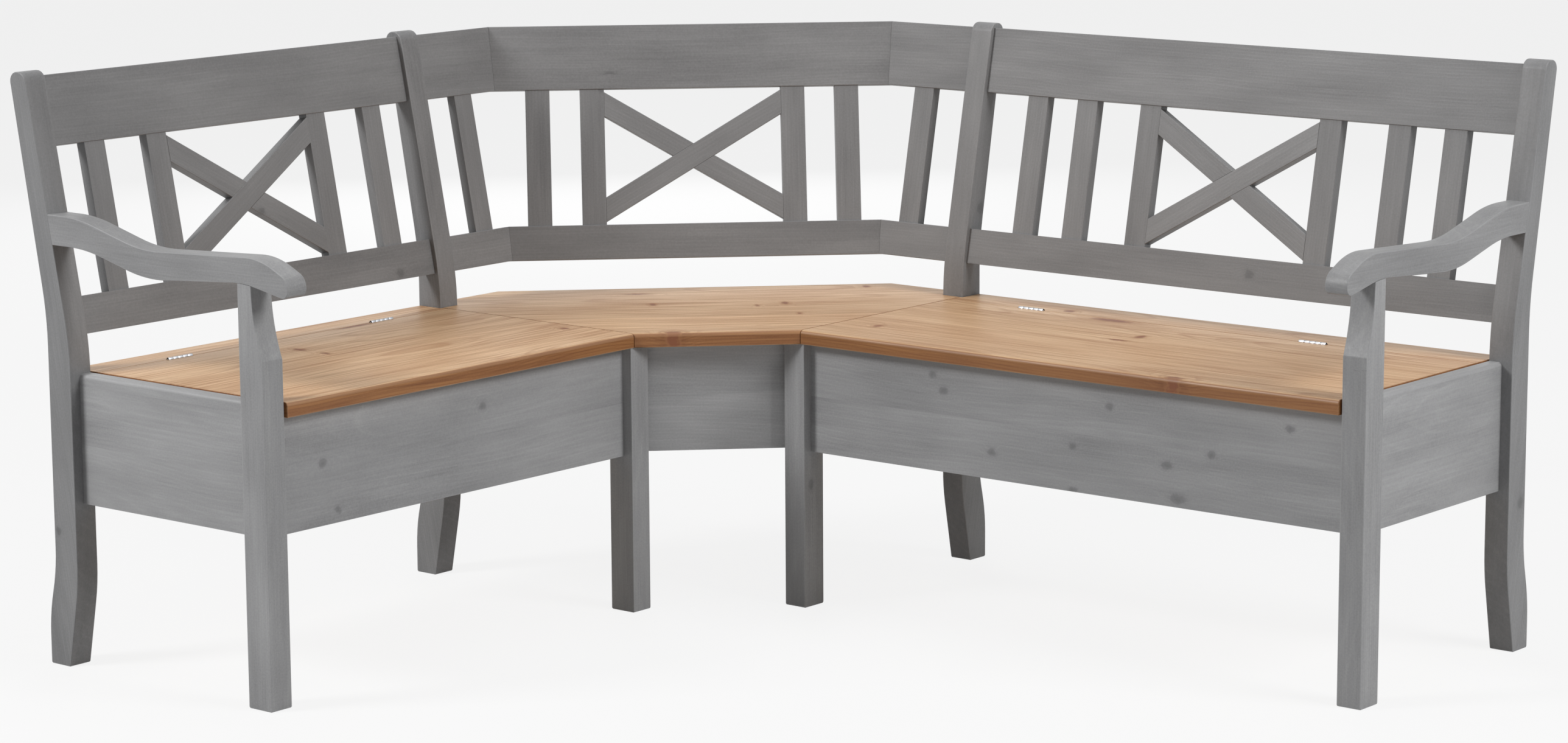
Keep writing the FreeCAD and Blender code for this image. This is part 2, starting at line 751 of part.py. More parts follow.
def make_corner_carriers():
    """Apron between the inner legs, and a bearer on each bench that carries the corner seat."""
    z = (panel_bottom, support_top)
    apron = block(corner_run, (-corner_reach, corner_reach), (apron_front - apron_thickness, apron_front), z)
    for side, run in (("short", short_run), ("long", long_run)):
        apron = apron.cut(half_space(run.point(corner_reach, 0, 0), run.along))
        panel_face = bench_start - end_panel_thickness
        bottom = seat_underside - bearer_height
        s = (panel_face - bearer_width, panel_face)
        u = (post_front + bearer_rear_inset, leg_back - bearer_front_inset)
        add("corner_seat_bearers", block(run, s, u, (bottom, seat_underside)))
        for place in (u[0] + bearer_screw_inset, (u[0] + u[1]) / 2, u[1] - bearer_screw_inset):
            below = run.point(s[0] + bearer_width / 2, place, bottom)
            add_screw("fixed_screws", below, UP, wood_screw, ("corner_seat_bearers", "corner_seat"))
            inside = run.point(bench_start, place + bearer_screw_stagger, bottom + bearer_height / 2)
            joined = (side + "_inner_end_panel", "corner_seat_bearers")
            add_screw("fixed_screws", inside, run.along * -1, wood_screw, joined)
    add("corner_apron", apron)


def make_bench(prefix, frame, length, strip_depth, slat_offsets, hinge_insets, batten_count, viewer_right):
    """One straight bench of the set, from its inner post to its outer post."""
    outer_face = corner_reach + length
    end = outer_face - leg_width
    make_post(prefix + "_inner_post", frame, corner_reach)
    make_post(prefix + "_outer_post", frame, end)
    make_plain_leg(prefix + "_inner_leg", frame, corner_reach)
    make_arm_leg(prefix + "_outer_leg", frame, end)
    make_arm(prefix + "_armrest", frame, outer_face)
    make_bench_back(prefix, frame, end, slat_offsets, viewer_right)
    make_box(prefix, frame, end)
    make_seats(prefix, frame, end, strip_depth, batten_count)
    lid_start, lid_end = lid_ends(end)
    for centre in (lid_start + hinge_insets[0], lid_end - hinge_insets[1]):
        make_hinge(prefix, frame, centre, strip_depth)
    middle = outer_face - arm_width / 2
    rear_height = arm_rear_top - arm_rear_thickness / 2
    rear = frame.leaning(front_of_back(seat_height))
    slope_height = (rear_height - seat_height) / math.cos(lean)
    add_dowel(rear, "u", (middle, 0.0, slope_height), (prefix + "_armrest", prefix + "_outer_post"))
    leg_middle = leg_back + leg_neck_top_depth / 2
    leg_top = arm_rise_bottom - arm_dowel_below_rise
    add_dowel(frame, "z", (middle, leg_middle, leg_top), (prefix + "_armrest", prefix + "_outer_leg"))


def main():
    make_bench(
        "short",
        short_run,
        length=short_bench_length,
        strip_depth=short_strip_depth,
        slat_offsets=(bench_slat_pitch,),
        hinge_insets=short_hinge_insets,
        batten_count=2,
        viewer_right=-1,
    )
    make_bench(
        "long",
        long_run,
        length=long_bench_length,
        strip_depth=long_strip_depth,
        slat_offsets=(bench_slat_pitch, bench_slat_pitch + long_end_slat_pitch),
        hinge_insets=long_hinge_insets,
        batten_count=3,
        viewer_right=1,
    )
    make_corner_back()
    make_corner_seat()
    make_corner_carriers()
    os.makedirs("parts", exist_ok=True)
    for name, solids in parts.items():
        shape = solids[0] if len(solids) == 1 else Part.makeCompound(solids)
        shape.exportStep("parts/" + name + ".step")
        print(name, len(solids), "valid" if shape.isValid() else "NOT VALID")
    whole = Part.makeCompound([piece for solids in parts.values() for piece in solids])
    print("nodes", len(parts), "box", whole.optimalBoundingBox(True, False))


main()
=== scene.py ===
# %% [markdown]
# # A corner storage bench in stained and oiled pine
# The bench is made of 182 pieces of pine, plywood, beech and steel, gathered in sixty named nodes. Their
# shapes come ready made in a frame of solids, so this lesson is about what turns them into wood: grain that
# follows every board, eased edges, two finishes, and light that suits them. The frame is loaded first and
# never moved.

# %% Load the frame
import json
import math
import random

import bmesh
import bpy
from mathutils import Matrix, Vector

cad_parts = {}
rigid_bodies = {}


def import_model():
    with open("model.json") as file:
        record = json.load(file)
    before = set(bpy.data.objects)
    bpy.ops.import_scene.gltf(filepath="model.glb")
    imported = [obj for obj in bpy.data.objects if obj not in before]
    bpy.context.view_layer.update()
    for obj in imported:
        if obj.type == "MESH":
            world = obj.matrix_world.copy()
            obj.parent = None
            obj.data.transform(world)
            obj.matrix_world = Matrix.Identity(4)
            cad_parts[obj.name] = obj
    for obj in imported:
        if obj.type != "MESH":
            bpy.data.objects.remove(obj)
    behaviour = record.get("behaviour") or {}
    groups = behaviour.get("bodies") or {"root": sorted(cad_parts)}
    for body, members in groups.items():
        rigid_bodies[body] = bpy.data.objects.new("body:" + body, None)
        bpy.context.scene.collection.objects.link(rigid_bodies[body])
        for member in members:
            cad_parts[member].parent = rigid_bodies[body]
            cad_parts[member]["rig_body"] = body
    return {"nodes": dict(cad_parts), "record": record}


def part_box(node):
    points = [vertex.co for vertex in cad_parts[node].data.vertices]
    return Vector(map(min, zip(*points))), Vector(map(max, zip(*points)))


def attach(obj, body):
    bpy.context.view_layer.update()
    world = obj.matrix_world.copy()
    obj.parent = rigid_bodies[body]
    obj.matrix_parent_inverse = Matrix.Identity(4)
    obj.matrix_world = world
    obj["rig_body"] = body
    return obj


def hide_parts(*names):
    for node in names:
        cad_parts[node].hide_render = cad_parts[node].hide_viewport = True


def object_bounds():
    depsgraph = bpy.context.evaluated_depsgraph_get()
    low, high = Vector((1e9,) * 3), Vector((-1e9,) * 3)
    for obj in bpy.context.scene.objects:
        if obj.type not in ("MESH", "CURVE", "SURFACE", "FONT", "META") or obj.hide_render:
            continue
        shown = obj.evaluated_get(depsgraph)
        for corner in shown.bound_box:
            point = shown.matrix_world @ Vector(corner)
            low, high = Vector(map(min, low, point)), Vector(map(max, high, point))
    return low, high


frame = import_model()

cad_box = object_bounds()
frame_slots = {part["node"]: part["material_slot"] for part in frame["record"]["subparts"]}
print("nodes in the frame:", len(frame["nodes"]))

# %% [markdown]
# ## Numbers in a maker's units
# Wood is measured in millimetres and colours are picked as hex values from a paint or stain card. Blender
# works in metres and in linear light, so a factor and a tiny helper turn one into the other, and nothing else
# in the file has to think about it.

# %% Units and colours
MM = 0.001


def linear(hex_colour):
    """Turns an sRGB hex colour into the linear RGBA that a shader socket wants."""
    channels = [int(hex_colour[place:place + 2], 16) / 255 for place in (1, 3, 5)]
    return [c / 12.92 if c <= 0.04045 else ((c + 0.055) / 1.055) ** 2.4 for c in channels] + [1.0]


print("middle grey #808080 in linear light:", round(linear("#808080")[0], 3))

# %% [markdown]
# ## A camera where the photographer stood
# The picture was taken from about seven metres in front of the corner seat, at the eye height of someone
# standing, with a long lens. A long lens keeps the two benches from flaring apart. Tilting the camera down,
# instead of shifting the lens, keeps other views of the bench in frame too.

# %% Place the camera
camera_place = Vector((3.953, -4.804, 1.549))
camera_heading = 39.51
camera_tilt = 10.09
camera_roll = 0.33
camera_lens = 93.96
camera_sensor = 36.0

camera = bpy.data.objects.new("camera", bpy.data.cameras.new("camera"))
camera.data.sensor_width = camera_sensor
camera.data.lens = camera_lens
turn = Matrix.Rotation(math.radians(camera_heading), 4, "Z")
tilt = Matrix.Rotation(math.radians(90 - camera_tilt), 4, "X")
roll = Matrix.Rotation(math.radians(-camera_roll), 4, "Z")
camera.matrix_world = Matrix.Translation(camera_place) @ turn @ tilt @ roll
bpy.context.scene.collection.objects.link(camera)
bpy.context.scene.camera = camera
seat_middle = sum((Vector(corner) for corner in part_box("corner_seat")), Vector()) / 2
print("camera to the corner seat:", round((camera_place - seat_middle).length, 2), "m")

# %% [markdown]
# ## One helper for shader nodes
# A material is a small program drawn with boxes and wires. In code each box needs three things: its kind,
# its settings, and what is wired or typed into its inputs. One function does that for every kind of node.

# %% Add a node


def add(tree, kind, inputs=None, **settings):
    """Adds a node with its settings; an input takes a value or the output of another node."""
    made = tree.nodes.new(kind)
    for name, value in settings.items():
        setattr(made, name, value)
    for name, value in (inputs or {}).items():
        if isinstance(value, bpy.types.NodeSocket):
            tree.links.new(value, made.inputs[name])
        else:
            made.inputs[name].default_value = value
    return made


# %% [markdown]
# ## How pine grows
# A board shows the same growth rings on its face, edge and end, because they are layers round the heart of
# the tree. So the pattern is worked out in the solid wood and not painted on each face: every point knows
# its place in its own board (across, through and along), the distance from the heart gives its ring, and
# slow noise lets the heart wander along the trunk, which draws the long arches of a flat-sawn board. Rings of
# a slow-grown pine lie 1 to 6 mm apart, and 5.2 mm is near the widest, so that they still show in a picture
# of the whole bench. A late wood line is narrow and sharp on its outer side, which the four stops draw.

# %% Numbers of the grain
ring_spacing = 5.2 * MM
late_wood_stops = ((0.0, 0.12), (0.42, 0.0), (0.86, 1.0), (1.0, 0.12))
faintest_ring = 0.25
nearest_heart = 30 * MM
deepest_heart = 90 * MM
heart_spread = 80 * MM
heart_wander = 52 * MM
wander_per_metre = 1.5
small_wander = 4 * MM
small_wander_per_metre = (22.0, 22.0, 4.5)
new_place_range = 40.0
centre_of_noise = (0.5, 0.5, 0.5)
lid_low, lid_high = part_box("long_lid")
print("rings side by side across the long lid:", round((lid_high[1] - lid_low[1]) / ring_spacing))

# %% [markdown]
# ## Staves
# Wide boards are glued from narrower staves, and each stave is cut from another place in another tree. So
# a stave gets chance numbers of its own from white noise, which is keyed by its number in the board and by
# the board's seed. The glue line between two staves is under a millimetre wide and shows a little dark.

# %% Find the stave under a point
glue_line = 0.7 * MM


def stave_place(group, across, given):
    """The way from the middle of a stave, chances of its own, and how much of a point is glue line."""
    width = given["Stave"]
    number = add(group, "ShaderNodeMath", {0: across, 1: width}, operation="DIVIDE").outputs[0]
    number = add(group, "ShaderNodeMath", {0: number}, operation="FLOOR").outputs[0]
    key = add(group, "ShaderNodeCombineXYZ", {0: number, 1: given["Seed"]}).outputs[0]
    chance = add(group, "ShaderNodeTexWhiteNoise", {"Vector": key}, noise_dimensions="3D").outputs
    middle = add(group, "ShaderNodeMath", {0: number, 1: 0.5}, operation="ADD").outputs[0]
    middle = add(group, "ShaderNodeMath", {0: middle, 1: width}, operation="MULTIPLY").outputs[0]
    from_middle = add(group, "ShaderNodeMath", {0: across, 1: middle}, operation="SUBTRACT").outputs[0]
    from_edge = add(group, "ShaderNodeMath", {0: from_middle}, operation="ABSOLUTE").outputs[0]
    half_width = add(group, "ShaderNodeMath", {0: width, 1: 0.5}, operation="MULTIPLY").outputs[0]
    from_edge = add(group, "ShaderNodeMath", {0: half_width, 1: from_edge}, operation="SUBTRACT").outputs[0]
    glue = add(
        group, "ShaderNodeMapRange", {"Value": from_edge, "From Max": glue_line, "To Min": 1.0, "To Max": 0.0}
    ).outputs[0]
    return from_middle, chance, glue


# %% [markdown]
# ## From the heart to a ring
# The heart of the trunk lies somewhere under the stave, a little to one side, and wanders as the tree leans
# and bends. The distance to it, in rings, has a whole part, which says how dark this year's ring is, and
# a fraction, which says how far through the year the wood is. A knot pushes the rings outward round it.

# %% Work out the rings


def to_the_heart(group, from_middle, through, along, chances, shift):
    """Distance from a point to the wandering heart of its trunk."""
    heart_side = add(
        group, "ShaderNodeMapRange", {"Value": chances[0], "To Min": -heart_spread, "To Max": heart_spread}
    ).outputs[0]
    heart_below = add(
        group, "ShaderNodeMapRange", {"Value": chances[1], "To Min": nearest_heart, "To Max": deepest_heart}
    ).outputs[0]
    bend = add(group, "ShaderNodeMath", {0: along, 1: wander_per_metre}, operation="MULTIPLY").outputs[0]
    bend = add(group, "ShaderNodeMath", {0: bend, 1: shift}, operation="ADD").outputs[0]
    bend = add(
        group, "ShaderNodeTexNoise", {"W": bend, "Scale": 1.0, "Detail": 1.5, "Roughness": 0.45},
        noise_dimensions="1D",
    )
    bend = add(
        group, "ShaderNodeVectorMath", {0: bend.outputs["Color"], 1: centre_of_noise}, operation="SUBTRACT"
    )
    bend = add(group, "ShaderNodeVectorMath", {0: bend.outputs[0], "Scale": heart_wander}, operation="SCALE")
    side = add(group, "ShaderNodeMath", {0: from_middle, 1: heart_side}, operation="SUBTRACT").outputs[0]
    depth = add(group, "ShaderNodeMath", {0: through, 1: heart_below}, operation="ADD").outputs[0]
    way = add(group, "ShaderNodeCombineXYZ", {0: side, 1: depth}).outputs[0]
    way = add(group, "ShaderNodeVectorMath", {0: way, 1: bend.outputs[0]}, operation="ADD").outputs[0]
    way = add(group, "ShaderNodeVectorMath", {0: way, 1: (1.0, 1.0, 0.0)}, operation="MULTIPLY").outputs[0]
    return add(group, "ShaderNodeVectorMath", {0: way}, operation="LENGTH").outputs["Value"]


def ring_lines(group, radius):
    """Late wood lines at a distance from the heart, some years fainter than others."""
    ring = add(group, "ShaderNodeMath", {0: radius, 1: ring_spacing}, operation="DIVIDE").outputs[0]
    through_year = add(group, "ShaderNodeMath", {0: ring}, operation="FRACT").outputs[0]
    late = add(group, "ShaderNodeValToRGB", {0: through_year})
    stops = late.color_ramp.elements
    for position, value in late_wood_stops:
        stop = stops[0] if position == 0.0 else stops[-1] if position == 1.0 else stops.new(position)
        stop.color = (value, value, value, 1.0)
    late.color_ramp.interpolation = "EASE"
    year = add(group, "ShaderNodeMath", {0: ring}, operation="FLOOR").outputs[0]
    year = add(group, "ShaderNodeTexWhiteNoise", {"W": year}, noise_dimensions="1D").outputs["Value"]
    strength = add(group, "ShaderNodeMapRange", {"Value": year, "To Min": faintest_ring}).outputs[0]
    lines = add(group, "ShaderNodeMath", {0: late.outputs["Color"], 1: strength}, operation="MULTIPLY")
    return lines.outputs[0]


# %% [markdown]
# ## Everything finer and coarser than a ring
# Between the rings, wood has fibres, darker streaks and broad clouds of tone, and a stain adds a fine
# speckle. All four are the same noise, stretched to the width and length that each has on real boards. The
# rings and these four go into one node group, so that every finish can share them.

# %% Put the growth of pine in a node group
fibre_width = 1.3 * MM
fibre_length = 75 * MM
streak_width = 6 * MM
streak_length = 260 * MM
cloud_width = 60 * MM
cloud_length = 240 * MM
speckle_size = 3 * MM


def stretched_noise(group, place, width, length, detail):
    """Noise that is as wide across a board, and as long along it, as given."""
    scale = (1 / width, 1 / width, 1 / length)
    spread = add(group, "ShaderNodeVectorMath", {0: place, 1: scale}, operation="MULTIPLY").outputs[0]
    noise = add(group, "ShaderNodeTexNoise", {"Vector": spread, "Scale": 1.0, "Detail": detail})
    return noise.outputs["Fac"]


def growth_of_pine():
    """Node group from a place in a board to every mark that the tree and the glue left there."""
    group = bpy.data.node_groups.new("pine growth rings", "ShaderNodeTree")
    group.interface.new_socket("Board", in_out="INPUT", socket_type="NodeSocketVector")
    for name in ("Seed", "Stave", "Push"):
        group.interface.new_socket(name, in_out="INPUT", socket_type="NodeSocketFloat")
    for name in ("Rings", "Fibre", "Streak", "Cloud", "Speckle", "Tone", "Glue"):
        group.interface.new_socket(name, in_out="OUTPUT", socket_type="NodeSocketFloat")
    given = add(group, "NodeGroupInput").outputs
    across, through, along = add(group, "ShaderNodeSeparateXYZ", {0: given["Board"]}).outputs
    from_middle, chance, glue = stave_place(group, across, given)
    chances = add(group, "ShaderNodeSeparateXYZ", {0: chance["Color"]}).outputs
    shift = add(
        group, "ShaderNodeMapRange", {"Value": chances[2], "To Min": 0.0, "To Max": new_place_range}
    ).outputs[0]
    moved = add(group, "ShaderNodeCombineXYZ", {2: shift}).outputs[0]
    place = add(group, "ShaderNodeVectorMath", {0: given["Board"], 1: moved}, operation="ADD").outputs[0]

    small = add(group, "ShaderNodeVectorMath", {0: place, 1: small_wander_per_metre}, operation="MULTIPLY")
    small = add(group, "ShaderNodeTexNoise", {"Vector": small.outputs[0], "Scale": 1.0, "Detail": 2.0})
    small = add(
        group, "ShaderNodeMapRange",
        {"Value": small.outputs["Fac"], "To Min": -small_wander, "To Max": small_wander},
    ).outputs[0]
    radius = to_the_heart(group, from_middle, through, along, chances, shift)
    radius = add(group, "ShaderNodeMath", {0: radius, 1: small}, operation="ADD").outputs[0]
    radius = add(group, "ShaderNodeMath", {0: radius, 1: given["Push"]}, operation="ADD").outputs[0]
    add(
        group, "NodeGroupOutput",
        {
            "Rings": ring_lines(group, radius),
            "Fibre": stretched_noise(group, place, fibre_width, fibre_length, 3.0),
            "Streak": stretched_noise(group, place, streak_width, streak_length, 2.0),
            "Cloud": stretched_noise(group, place, cloud_width, cloud_length, 3.0),
            "Speckle": stretched_noise(group, place, speckle_size, speckle_size, 2.0),
            "Tone": chance["Value"],
            "Glue": glue,
        },
    )
    return group


rings_group = growth_of_pine()
print("the growth of pine takes", len(rings_group.nodes), "nodes")

# %% [markdown]
# ## Knots by chance
# A knot is a branch that the trunk grew round. On a board it is a dark disc, a little longer along the
# grain, and the rings bend round it. Most boards get a few by chance, from a Voronoi texture whose cells are
# as large as the usual distance between branches. A cell without a knot keeps one that is too small to see.

# %% Scatter knots
knot_stretch = 1.3
knot_cell = Vector((190 * MM, 1.0, 460 * MM))
knot_scatter = 0.85
cells_per_seed = 37.0
smallest_knot = 3.5 * MM
largest_knot = 6.5 * MM
no_knot = 0.2 * MM
in_the_face = (1.0, 0.0, 1.0)


def chance_knots(tree, board, seed, share):
    """Distance to the nearest chance knot, counted in its own radius; share is how many cells have one."""
    shift = add(tree, "ShaderNodeMath", {0: seed, 1: cells_per_seed}, operation="MULTIPLY").outputs[0]
    shift = add(tree, "ShaderNodeCombineXYZ", {0: shift, 2: shift}).outputs[0]
    cells = add(tree, "ShaderNodeVectorMath", {0: board, 1: knot_cell}, operation="DIVIDE").outputs[0]
    cells = add(tree, "ShaderNodeVectorMath", {0: cells, 1: in_the_face}, operation="MULTIPLY").outputs[0]
    cells = add(tree, "ShaderNodeVectorMath", {0: cells, 1: shift}, operation="ADD").outputs[0]
    cell = add(tree, "ShaderNodeTexVoronoi", {"Vector": cells, "Scale": 1.0, "Randomness": knot_scatter})
    gap = add(tree, "ShaderNodeVectorMath", {0: cells, 1: cell.outputs["Position"]}, operation="SUBTRACT")
    to_metres = (knot_cell.x, 0.0, knot_cell.z / knot_stretch)
    gap = add(tree, "ShaderNodeVectorMath", {0: gap.outputs[0], 1: to_metres}, operation="MULTIPLY")
    gap = add(tree, "ShaderNodeVectorMath", {0: gap.outputs[0]}, operation="LENGTH").outputs["Value"]
    chances = add(tree, "ShaderNodeSeparateXYZ", {0: cell.outputs["Color"]}).outputs
    size = add(
        tree, "ShaderNodeMapRange", {"Value": chances[1], "To Min": smallest_knot, "To Max": largest_knot}
    ).outputs[0]
    present = add(tree, "ShaderNodeMath", {0: chances[0], 1: share}, operation="LESS_THAN").outputs[0]
    size = add(tree, "ShaderNodeMath", {0: size, 1: present}, operation="MULTIPLY").outputs[0]
    size = add(tree, "ShaderNodeMath", {0: size, 1: no_knot}, operation="MAXIMUM").outputs[0]
    return add(tree, "ShaderNodeMath", {0: gap, 1: size}, operation="DIVIDE").outputs[0]


# %% [markdown]
# ## Knots in their places
# Boards that face the eye get their knots where the real bench has them: a short list of places for each
# board. A round branch cut at a slant gives an oval, so a knot has a half width and a half length. A knot
# with a perfect outline looks printed, so the board's coordinates are wobbled a little before they are used.

# %% Place knots
wobble_length = 9 * MM
wobble_size = 9 * MM


def placed_knots(tree, board, places):
    """Distance to the nearest given knot: across, along, half width and half length in millimetres."""
    nearest = None
    for across, along, half_width, half_length in places:
        centre = (across * MM, 0.0, along * MM)
        gap = add(tree, "ShaderNodeVectorMath", {0: board, 1: centre}, operation="SUBTRACT").outputs[0]
        scale = (1 / (half_width * MM), 0.0, 1 / (half_length * MM))
        gap = add(tree, "ShaderNodeVectorMath", {0: gap, 1: scale}, operation="MULTIPLY").outputs[0]
        gap = add(tree, "ShaderNodeVectorMath", {0: gap}, operation="LENGTH").outputs["Value"]
        if nearest is None:
            nearest = gap
        else:
            nearest = add(tree, "ShaderNodeMath", {0: nearest, 1: gap}, operation="MINIMUM").outputs[0]
    return nearest


def wobbled(tree, board):
    """Board coordinates with a small uneven shift, for outlines that aren't perfect ovals."""
    wobble = add(tree, "ShaderNodeTexNoise", {"Vector": board, "Scale": 1 / wobble_length, "Detail": 2.0})
    wobble = add(
        tree, "ShaderNodeVectorMath", {0: wobble.outputs["Color"], 1: centre_of_noise}, operation="SUBTRACT"
    )
    wobble = wobble.outputs[0]
    wobble = add(tree, "ShaderNodeVectorMath", {0: wobble, "Scale": wobble_size}, operation="SCALE")
    return add(tree, "ShaderNodeVectorMath", {0: board, 1: wobble.outputs[0]}, operation="ADD").outputs[0]


# %% [markdown]
# ## Three small tools for mixing
# A finish is mixed from many shares: a knot that fades outward, noise that swings the tone both ways, and
# one colour laid over another. Each of these takes several nodes or settings, so each gets a short name.

# %% Fade, swing and blend
noise_low = 0.3
noise_high = 0.7


def fade(tree, value, near, far, strength=1.0):
    """Falls smoothly from a strength at the near value to nothing at the far one."""
    return add(
        tree, "ShaderNodeMapRange",
        {"Value": value, "From Min": near, "From Max": far, "To Min": strength, "To Max": 0.0},
        interpolation_type="SMOOTHSTEP",
    ).outputs[0]


def swing(tree, value, share):
    """Turns a noise into a small share above and below nothing."""
    return add(
        tree, "ShaderNodeMapRange",
        {"Value": value, "From Min": noise_low, "From Max": noise_high, "To Min": -share, "To Max": share},
        clamp=False,
    ).outputs[0]


def blend(tree, factor, first, second, kind="MIX"):
    """Mixes two colours; a hex colour or a socket will do for each."""
    colours = [linear(colour) if isinstance(colour, str) else colour for colour in (first, second)]
    return add(
        tree, "ShaderNodeMix", {"Factor": factor, 6: colours[0], 7: colours[1]},
        data_type="RGBA", blend_type=kind,
    ).outputs[2]


# %% [markdown]
# ## Any finish on pine
# Stained, oiled and raw pine differ in colour and in how strongly each mark of the wood shows, but not in
# the marks themselves. So one function builds them all from a look: a dictionary of colours and strengths.
# Planed wood under oil or varnish has an IOR near 1.5 and a roughness around a half, a broad soft sheen and
# no mirror, and a relief of about a tenth of a millimetre between hard and soft wood.

# %% Build a pine finish
knot_edge = 1.2
rim_start = 1.0
rim_end = 1.5
halo_start = 0.8
push_end = 5.0
knot_push = 11 * MM
resting_darkness = 0.35
wood_ior = 1.5
grain_relief = 0.12 * MM
roughness_spread = 0.06


def grain_colour(tree, given, halo, look):
    """Colour of the bare grain, and how dark it is."""
    rings = add(tree, "ShaderNodeMath", {0: given["Rings"], 1: look["rings"]}, operation="MULTIPLY")
    colour = blend(tree, rings.outputs[0], look["wood"], look["line"])
    glue = add(tree, "ShaderNodeMath", {0: given["Glue"], 1: look["glue"]}, operation="MULTIPLY").outputs[0]
    darkness = halo
    for kind in ("Fibre", "Streak", "Cloud", "Speckle"):
        share = swing(tree, given[kind], look[kind.lower()])
        darkness = add(tree, "ShaderNodeMath", {0: darkness, 1: share}, operation="ADD").outputs[0]
    darkness = add(tree, "ShaderNodeMath", {0: darkness, 1: glue}, operation="ADD").outputs[0]
    darkness = add(
        tree, "ShaderNodeMath", {0: darkness, 1: resting_darkness}, operation="ADD", use_clamp=True
    ).outputs[0]
    return blend(tree, darkness, colour, look["dark"]), darkness


def pine(name, look, stave=1.0, knots=(), knot_share=0.35):
    """A finish on pine. Its look holds colours, and how strongly each mark of the wood shows."""
    material = bpy.data.materials.new(name)
    material.use_nodes = True
    tree = material.node_tree
    tree.nodes.clear()
    board = add(tree, "ShaderNodeAttribute", attribute_name="board").outputs["Vector"]
    seed, board_tone_and_painted_light, eased, side = [
        add(tree, "ShaderNodeAttribute", attribute_name=kind).outputs["Fac"]
        for kind in ("seed", "tone", "eased", "side")
    ]
    uneven = wobbled(tree, board)
    ratio = placed_knots(tree, uneven, knots) if knots else chance_knots(tree, uneven, seed, knot_share)
    knot = fade(tree, ratio, look["knot_core"], knot_edge, look["knots"])
    rim = fade(tree, ratio, rim_start, rim_end, look["knots"])
    rim = add(tree, "ShaderNodeMath", {0: rim, 1: knot}, operation="SUBTRACT").outputs[0]
    halo = fade(tree, ratio, halo_start, look["halo_reach"], look["halo"])
    push = fade(tree, ratio, 0.0, push_end, knot_push)
    given = add(
        tree, "ShaderNodeGroup", {"Board": board, "Seed": seed, "Push": push, "Stave": stave},
        node_tree=rings_group,
    ).outputs

    colour, darkness = grain_colour(tree, given, halo, look)
    # painted shade: sides and edges are multiplied darker than the top, partly for oil soaked into end grain
    colour = blend(tree, side, colour, look["side"], kind="MULTIPLY")
    colour = blend(tree, rim, colour, look["rim"])
    colour = blend(tree, knot, colour, look["knot"])
    worn = add(tree, "ShaderNodeMath", {0: eased, 1: look["wear"]}, operation="MULTIPLY").outputs[0]
    colour = blend(tree, worn, colour, look["worn"])
    darkest = 1 - look["staves"]
    palest = 1 + look["staves"]
    tone = add(
        tree, "ShaderNodeMapRange", {"Value": given["Tone"], "To Min": darkest, "To Max": palest}
    ).outputs[0]
    # the board tone holds painted light and shade for its kind of piece, besides its chance tone
    tone = add(tree, "ShaderNodeMath", {0: tone, 1: board_tone_and_painted_light}, operation="MULTIPLY").outputs[0]
    colour = add(tree, "ShaderNodeVectorMath", {0: colour, "Scale": tone}, operation="SCALE").outputs[0]

    smoothest = look["roughness"] - roughness_spread
    roughest = look["roughness"] + roughness_spread
    roughness = add(
        tree, "ShaderNodeMapRange", {"Value": darkness, "To Min": smoothest, "To Max": roughest}
    ).outputs[0]
    height = add(tree, "ShaderNodeMath", {0: given["Fibre"], 1: given["Rings"]}, operation="ADD").outputs[0]
    height = add(tree, "ShaderNodeMath", {0: height, 1: knot}, operation="SUBTRACT").outputs[0]
    bump = add(
        tree, "ShaderNodeBump", {"Height": height, "Strength": look["relief"], "Distance": grain_relief}
    ).outputs[0]
    shader = add(
        tree, "ShaderNodeBsdfPrincipled",
        {"Base Color": colour, "Roughness": roughness, "IOR": wood_ior, "Normal": bump},
    )
    add(tree, "ShaderNodeOutputMaterial", {"Surface": shader.outputs[0]})
    return material


# %% [markdown]
# ## Three looks: stained, oiled, raw
# The frame, rails and panels are softwood under a thin grey water stain and a matt varnish. The stain dyes
# the soft early wood more than the hard late wood, so the rings are faint pale lines, knots are soft darker
# spots, and eased edges are rubbed slightly pale.
#
# The seats are bare pine with oil. Oil makes the late wood lines warm and brown, turns knots reddish, and
# soaks into the end grain and edges, which darkens them a little. The darker colour for the sides is partly
# that
# and partly painted shade: every side and edge face is darkened as if less light fell on it than on the top.
# Their staves and glue lines can be told apart. Cleats, battens, bearers and the plywood bottoms were never
# finished.

# %% Write down the three looks
grey_stain = {
    "wood": "#9a9a9b", "line": "#a9a9a9", "dark": "#6a6a6b", "rim": "#6c6c6d", "knot": "#5c5c5d",
    "side": "#ffffff", "worn": "#ababac", "wear": 0.2, "rings": 0.5, "fibre": 0.09, "streak": 0.07,
    "cloud": 0.24, "speckle": 0.1, "glue": 0.0, "staves": 0.03, "knots": 0.55, "knot_core": 0.2,
    "halo": 0.2, "halo_reach": 2.6, "relief": 0.25, "roughness": 0.5,
}
# The oiled side colour is partly oil soaked into end grain and partly painted shade on every side and edge
# face.
oiled = {
    "wood": "#dcb88f", "line": "#a8774d", "dark": "#9c6e48", "rim": "#90603a", "knot": "#7d482a",
    "side": "#b99a78", "worn": "#c9a27b", "wear": 0.2, "rings": 0.72, "fibre": 0.22, "streak": 0.42,
    "cloud": 0.24, "speckle": 0.08, "glue": 0.45, "staves": 0.06, "knots": 1.0, "knot_core": 0.7,
    "halo": 0.3, "halo_reach": 3.2, "relief": 0.25, "roughness": 0.46,
}
raw = {
    "wood": "#e0c69f", "line": "#cba475", "dark": "#c7a273", "rim": "#97653f", "knot": "#8a5a3c",
    "side": "#ffffff", "worn": "#dcc19a", "wear": 0.2, "rings": 0.7, "fibre": 0.2, "streak": 0.2,
    "cloud": 0.2, "speckle": 0.1, "glue": 0.2, "staves": 0.04, "knots": 1.0, "knot_core": 0.7,
    "halo": 0.3, "halo_reach": 3.0, "relief": 0.5, "roughness": 0.62,
}
print("each look has", len(oiled), "values")

